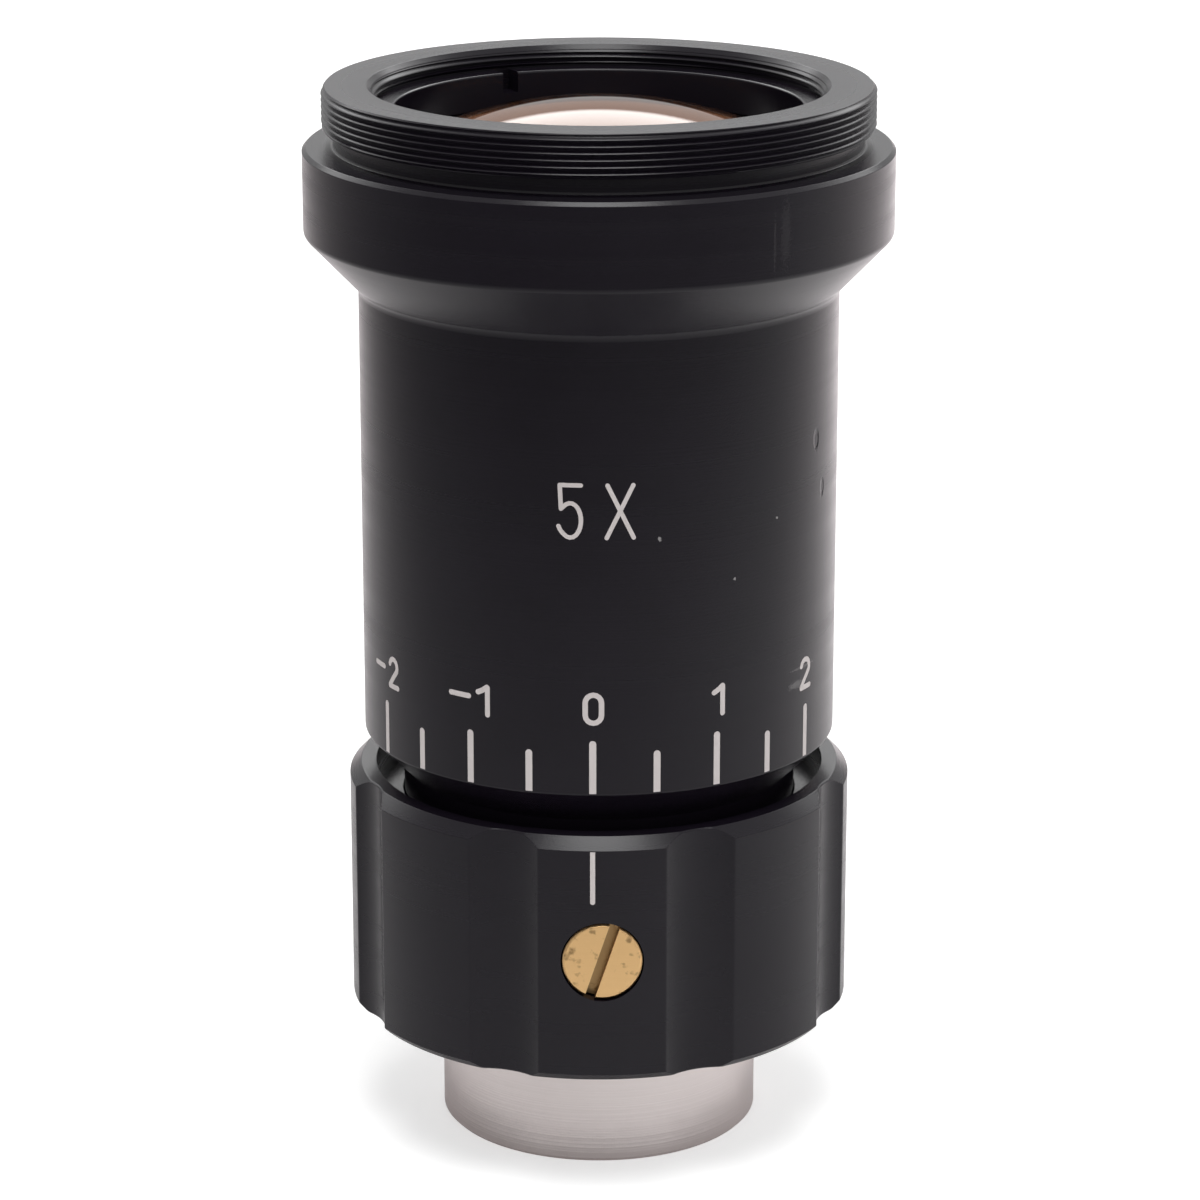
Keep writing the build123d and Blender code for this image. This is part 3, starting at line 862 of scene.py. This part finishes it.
def makeInputOptics(v):
    place(makeCell(v), "input_group", "input_cell", "black_anodised", anodisedInside)
    place(makeInputLens(v), "input_group", "input_lens", "coated_glass", lensGlass)
    bottom = v["retainerTop"] - v["retainerThickness"]
    place(makeSmallRing("input_retaining_ring_body", v, v["aperture"], v["retainer"], bottom,
                        v["retainerTop"], 90), "input_group", "input_retaining_ring",
          "black_anodised", anodisedInside)
    place(makeSmallRing("cell_lock_ring_body", v, v["lockBore"], v["cell"], v["lockBottom"],
                        v["lockTop"], 45), "input_group", "cell_lock_ring",
          "black_anodised", anodisedInside)


makeInputOptics(cellValues)
print("input optics")


# Pieces whose plain form is right: they only get their finish

for name, material in (("output_o_ring", rubber), ("drive_pin", groundSteel),
                       ("slip_washer_lower", rolledBronze), ("slip_washer_upper", rolledBronze),
                       ("lock_pad", nylon)):
    nodes[name].data.materials.clear()
    nodes[name].data.materials.append(material)


# Scale, numbers and index line, filled with paint

markValues = {
    "radius": 18.4, "proud": 0.012, "sunk": 0.05, "pathStep": 0.25,
    "zero": -2.2, "step": 15.1,
    "tickBottom": 32.62, "longTick": 36.8, "shortTick": 35.9, "tickWidth": 0.53,
    "numberBottom": 38.2, "numberTop": 40.4, "numberStroke": 0.41,
    "powerBottom": 52.54, "powerTop": 56.53, "powerStroke": 0.33,
}
indexValues = {"radius": 19.65, "angle": -2.13, "bottom": 24.24, "top": 28.44, "width": 0.38}


def evenPath(path, step, closed):
    # The same line with a point every step, so that it bends with the cylinder.
    path = np.array(path, float)
    if closed:
        path = np.concatenate([path, path[:1]])
    along = np.concatenate([[0], np.cumsum(np.linalg.norm(np.diff(path, axis=0), axis=1))])
    stops = np.linspace(0, along[-1], max(3, math.ceil(along[-1] / step) + 1))
    even = np.stack([np.interp(stops, along, path[:, axis]) for axis in (0, 1)], -1)
    return even[:-1] if closed else even


def ribbon(path, width, radius, v, closed=False, flatStart=False):
    # A stroke drawn with a round tool: at each point of the path the section is as wide as the stroke,
    # and past a free end it narrows as sqrt(half width^2 - distance past the end^2). The path is given
    # as (distance round the cylinder, height), and is bent onto it.
    path = evenPath(path, v["pathStep"], closed)
    half = width / 2
    if closed:
        ahead, back = np.roll(path, -1, 0), np.roll(path, 1, 0)
        reach = np.full(len(path), half)
    else:
        ahead = np.concatenate([path[1:], path[-1:]])
        back = np.concatenate([path[:1], path[:-1]])
        reach = np.full(len(path), half)
    direction = ahead - back
    direction /= np.linalg.norm(direction, axis=1, keepdims=True)
    if not closed:
        past = half * np.sin(np.linspace(0, 1, 9)[1:] * math.pi / 2)
        narrow = np.sqrt(np.maximum(half**2 - past**2, 1e-8))
        tail = path[-1] + past[:, None] * direction[-1]
        parts = [path, tail]
        reach = np.concatenate([reach, narrow])
        direction = np.concatenate([direction, np.repeat(direction[-1:], len(past), 0)])
        if not flatStart:
            head = path[0] - past[::-1, None] * direction[0]
            parts.insert(0, head)
            reach = np.concatenate([narrow[::-1], reach])
            direction = np.concatenate([np.repeat(direction[:1], len(past), 0), direction])
        path = np.concatenate(parts)
    side = np.stack([-direction[:, 1], direction[:, 0]], -1) * reach[:, None]
    left, right = path + side, path - side
    high, low = radius + v["proud"], radius - v["sunk"]
    section = [(left, low), (left, high), (right, high), (right, low)]
    points = np.stack([np.stack([depth * np.sin(flat[:, 0] / radius), -depth * np.cos(flat[:, 0] / radius),
                                 flat[:, 1]], -1) for flat, depth in section])
    count = len(path)
    faces = gridFaces(4, count, wrapColumns=closed)
    if not closed:
        caps = np.array([[0, count, 2 * count, 3 * count],
                         [count - 1, 2 * count - 1, 3 * count - 1, 4 * count - 1]])
        faces = np.concatenate([faces, caps])
    return points.reshape(-1, 3), faces


def arcPath(centre, reach, start, end, count=24):
    # Part of an ellipse, from one angle to another.
    swing = np.radians(np.linspace(start, end, count))
    return np.stack([centre[0] + reach[0] * np.cos(swing), centre[1] + reach[1] * np.sin(swing)], -1)


def glyphPaths(glyph):
    # Centre lines in a box one wide and one high, as (path, closed).
    if glyph == "0":
        top = arcPath((0.5, 0.72), (0.5, 0.28), 0, 180)
        bottom = arcPath((0.5, 0.28), (0.5, 0.28), 180, 360)
        return [(np.concatenate([top, bottom]), True)]
    if glyph == "1":
        return [([(1, 0), (1, 0.97)], False), ([(0.96, 0.98), (0.5, 0.86), (0.0, 0.77)], False)]
    if glyph == "2":
        top = arcPath((0.48, 0.72), (0.46, 0.28), 165, -28)
        return [(np.concatenate([top, [(0.42, 0.3), (0.02, 0.02)]]), False), ([(0.02, 0), (1, 0)], False)]
    if glyph == "-":
        return [([(0, 0.5), (1, 0.5)], False)]
    if glyph == "5":
        round = arcPath((0.52, 0.33), (0.48, 0.33), 118, -125)
        bowl = np.concatenate([[(0.11, 0.547)], round, [(0.085, 0.13), (0, 0.215)]])
        return [([(0.99, 1), (0.06, 1)], False), ([(0.06, 1), (0.11, 0.547)], False), (bowl, False)]
    return [([(0.03, 1), (1, 0)], False), ([(0.98, 1), (0, 0)], False)]   # a cross


def drawGlyph(glyph, left, right, bottom, top, stroke, radius, v):
    # left and right are angles from the front at the outer edges of the strokes.
    reach = math.radians(right - left) * radius - stroke
    start = math.radians(left) * radius + stroke / 2
    low, tall = bottom, top - bottom
    drawn = []
    for path, closed in glyphPaths(glyph):
        path = np.array(path, float) * (reach, tall) + (start, low)
        drawn.append(ribbon(path, stroke, radius, v, closed))
    return drawn


def joinStrokes(name, strokes):
    points, faces, count = [], [], 0
    for strokePoints, strokeFaces in strokes:
        points.append(strokePoints)
        faces.append(strokeFaces + count)
        count += len(strokePoints)
    return makePiece(name, np.concatenate(points), np.concatenate(faces))


def makeScale(v):
    strokes = []
    for index in range(-4, 5):
        top = v["longTick"] if index % 2 == 0 else v["shortTick"]
        along = math.radians(v["zero"] + index * v["step"]) * v["radius"]
        path = [(along, v["tickBottom"]), (along, top - v["tickWidth"] / 2)]
        strokes.append(ribbon(path, v["tickWidth"], v["radius"], v, flatStart=True))
    return joinStrokes("scale_marks", strokes)


def makeNumbers(v):
    low, high, stroke = v["numberBottom"], v["numberTop"], v["numberStroke"]
    places = [
        ("0", -4.58, 0.48), ("1", 26.52, 30.10), ("2", 55.36, 60.77),
        ("-", -38.53, -32.12), ("1", -30.83, -27.06), ("-", -69.12, -63.25), ("2", -61.62, -56.54),
    ]
    strokes = []
    for glyph, left, right in places:
        bottom, top = (low + 0.8, high - 0.5) if glyph == "-" else (low, high)
        strokes += drawGlyph(glyph, left, right, bottom, top, stroke, v["radius"], v)
    return joinStrokes("scale_numbers", strokes)


def makePower(v):
    strokes = []
    for glyph, left, right in (("5", -10.56, -4.34), ("X", 0.51, 7.74)):
        strokes += drawGlyph(glyph, left, right, v["powerBottom"], v["powerTop"], v["powerStroke"],
                             v["radius"], v)
    return joinStrokes("power_marking", strokes)


def makeIndex(v, common):
    along = math.radians(v["angle"]) * v["radius"]
    path = [(along, v["top"]), (along, v["bottom"] + v["width"] / 2)]
    return joinStrokes("index_line", [ribbon(path, v["width"], v["radius"], common, flatStart=True)])


for piece in (makeScale(markValues), makeNumbers(markValues), makePower(markValues)):
    place(piece, "barrel_group", None, "black_anodised", markPaint)
place(makeIndex(indexValues, markValues), "focus_ring_group", None, "black_anodised", markPaint)
print("marks")


# Floor and light

stageValues = {
    "floorReach": 4000.0, "floorColour": 0.80, "floorGlow": 0.5,
    "frontFar": -360.0, "frontNear": -60.0, "frontShare": 0.14, "frontCurve": 1.6,
    "leftFar": -300.0, "rightFar": 100.0, "leftShare": 0.3, "rightShare": 1.2,
    "edgeNear": 120.0, "edgeFar": 300.0, "edgeShare": 0.65, "mirrorTint": (1, 0.84, 0.87),
    "backNear": -30.0, "backFar": 260.0, "backGlow": 0.72,
    "skyLevel": 0.62, "sideLift": 0.16, "topLift": 0.05,
    "backdropLow": 0.6, "backdropHigh": 4.4, "backdropStep": (0.35, 0.39),
    "lampPlace": (0.0, -0.29, 0.957), "lampStart": 0.955, "lampFull": 0.985, "lampLevel": 7.5,
}


def makeFloor(v):
    reach = v["floorReach"]
    points = np.array([(-reach, -reach, 0), (reach, -reach, 0), (reach, reach, 0), (-reach, reach, 0)], float)
    floor = makePiece("floor", points, np.array([(0, 1, 2, 3)]), tidy=False)
    # What the object mirrors of the floor carries painted light: it is dim far in front of it, and behind it
    # the floor has a painted glow, white with a slight pink tint, that only shiny pieces see. To the camera the
    # floor glows evenly white.
    material, tree, shader = newMaterial("floor_paper", Roughness=0.9, Specular_IOR_Level=0.1)
    path = addNode(tree, "LightPath")
    shiny = maths(tree, "MAXIMUM", path.outputs["Is Glossy Ray"], path.outputs["Is Transmission Ray"])
    where = addNode(tree, "SeparateXYZ", {0: addNode(tree, "TexCoord").outputs["Object"]}).outputs
    near = maths(tree, "POWER", mapRange(tree, where["Y"], v["frontFar"] * mm, v["frontNear"] * mm, 0, 1),
                 v["frontCurve"])
    # Painted shade on the left of the mirrored floor and painted light on its right, dimmer again far to the
    # right.
    side = mapRange(tree, where["X"], v["leftFar"] * mm, v["rightFar"] * mm, v["leftShare"], v["rightShare"])
    edge = mapRange(tree, where["X"], v["edgeNear"] * mm, v["edgeFar"] * mm, 1, v["edgeShare"])
    side = maths(tree, "MULTIPLY", side, edge)
    front = maths(tree, "MULTIPLY", mapRange(tree, near, 0, 1, v["frontShare"], 1), side)
    share = addNode(tree, "Mix", {"Factor": shiny, "A": 1.0, "B": front}).outputs[0]
    tree.links.new(maths(tree, "MULTIPLY", share, v["floorColour"]), shader.inputs["Base Color"])
    behind = mapRange(tree, where["Y"], v["backNear"] * mm, v["backFar"] * mm, 0, v["backGlow"])
    glow = maths(tree, "ADD", maths(tree, "MULTIPLY", path.outputs["Is Camera Ray"], v["floorGlow"]),
                 maths(tree, "MULTIPLY", shiny, maths(tree, "MULTIPLY", behind, side)))
    tree.links.new(mixColour(tree, shiny, (1, 1, 1), v["mirrorTint"]), shader.inputs["Emission Color"])
    tree.links.new(glow, shader.inputs["Emission Strength"])
    floor.data.materials.append(material)


def makeWorld(v):
    world = bpy.data.worlds.new("studio")
    bpy.context.scene.world = world
    world.use_nodes = True
    tree = world.node_tree
    background = tree.nodes["Background"]
    towards = addNode(tree, "TexCoord").outputs["Generated"]
    direction = addNode(tree, "SeparateXYZ", {0: towards})
    side = mapRange(tree, direction.outputs["X"], -1, 1, -v["sideLift"], v["sideLift"])
    top = mapRange(tree, direction.outputs["Z"], 0, 1, 0, v["topLift"])
    level = maths(tree, "ADD", maths(tree, "ADD", side, top), v["skyLevel"])
    # A soft round lamp, nearly overhead
    closeness = addNode(tree, "VectorMath", {0: towards, 1: v["lampPlace"]}, operation="DOT_PRODUCT")
    lamp = mapRange(tree, closeness.outputs["Value"], v["lampStart"], v["lampFull"], 0, v["lampLevel"])
    level = maths(tree, "ADD", level, lamp)
    # The backdrop, as shiny pieces mirror it: grey low down and bright above
    path = addNode(tree, "LightPath")
    shiny = maths(tree, "MAXIMUM", path.outputs["Is Glossy Ray"], path.outputs["Is Transmission Ray"])
    behind = mapRange(tree, direction.outputs["Y"], 0.3, 0.8, 0, 1)
    window = mapRange(tree, direction.outputs["Z"], *v["backdropStep"], 0, v["backdropHigh"] - v["backdropLow"])
    passed = maths(tree, "SUBTRACT", 1.0, path.outputs["Is Transmission Ray"])
    backdrop = maths(tree, "ADD", maths(tree, "MULTIPLY", window, passed), v["backdropLow"])
    mirrored = addNode(tree, "Mix", {
        "Factor": maths(tree, "MULTIPLY", shiny, behind), "A": level, "B": backdrop}).outputs[0]
    strength = addNode(tree, "Mix", {
        "Factor": path.outputs["Is Camera Ray"], "A": mirrored, "B": 1.0}).outputs[0]
    tree.links.new(strength, background.inputs["Strength"])
    background.inputs["Color"].default_value = (1, 1, 1, 1)


makeFloor(stageValues)
makeWorld(stageValues)
bpy.context.scene.view_settings.view_transform = "Standard"
print("stage ready")
